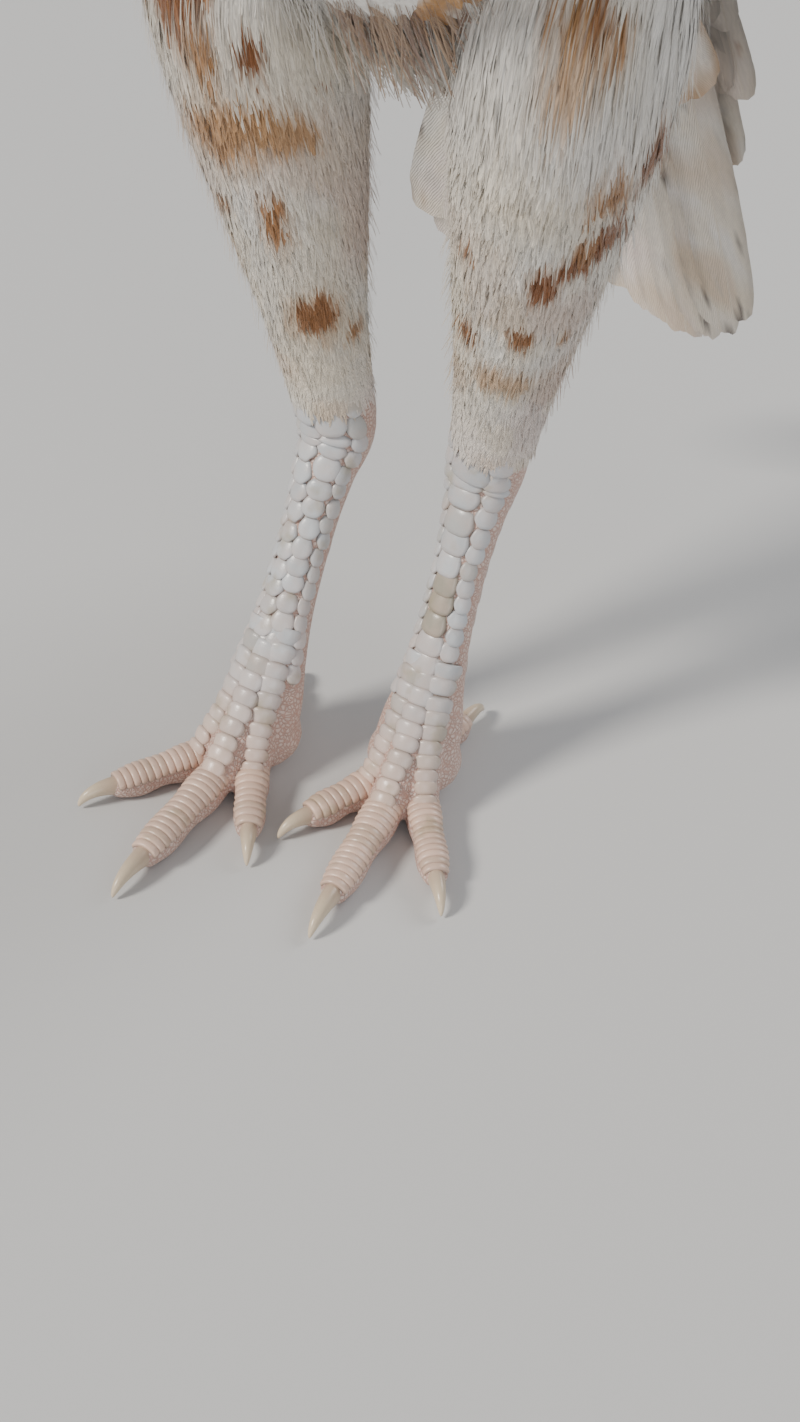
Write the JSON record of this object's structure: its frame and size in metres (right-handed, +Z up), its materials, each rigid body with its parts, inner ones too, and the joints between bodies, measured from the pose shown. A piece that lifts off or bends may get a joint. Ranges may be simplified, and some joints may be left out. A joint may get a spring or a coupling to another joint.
{
  "type": "aseel chicken",
  "caption": "Life-size upright game hen standing on both feet, with folded wings, a drooping tail, long scaled shanks and a pea comb. A still model.",
  "frame": {"origin": "on the floor under the middle of the bird's box", "axes": "+Z up. The bird faces -Y, and its left side is towards +X"},
  "size_m": [0.1882, 0.3008, 0.5757],
  "materials": {
    "plumage": "matte white feathers with rust-brown patches",
    "face": "matte red skin",
    "bare": "satin red skin",
    "horn": "satin ivory horn",
    "eye": "wet pearl iris and black pupil",
    "scale": "satin pearl-white scales, pink between them"
  },
  "bodies": {
    "root": {"torso": "plumage", "neck": "plumage", "tail": "plumage", "wing_l": "plumage", "wing_r": "plumage", "thigh_l": "plumage", "thigh_r": "plumage", "head": "face", "comb": "bare", "dewlap": "bare", "ear_lobe_l": "bare", "ear_lobe_r": "bare", "bill_upper": "horn", "bill_lower": "horn", "claw_l_middle": "horn", "claw_l_inner": "horn", "claw_l_outer": "horn", "claw_l_hallux": "horn", "claw_r_middle": "horn", "claw_r_inner": "horn", "claw_r_outer": "horn", "claw_r_hallux": "horn", "eye_l": "eye", "eye_r": "eye", "shank_l": "scale", "shank_r": "scale", "foot_l": "scale", "foot_r": "scale", "toe_l_middle": "scale", "toe_l_inner": "scale", "toe_l_outer": "scale", "toe_l_hallux": "scale", "toe_r_middle": "scale", "toe_r_inner": "scale", "toe_r_outer": "scale", "toe_r_hallux": "scale"}
  },
  "joints": []
}
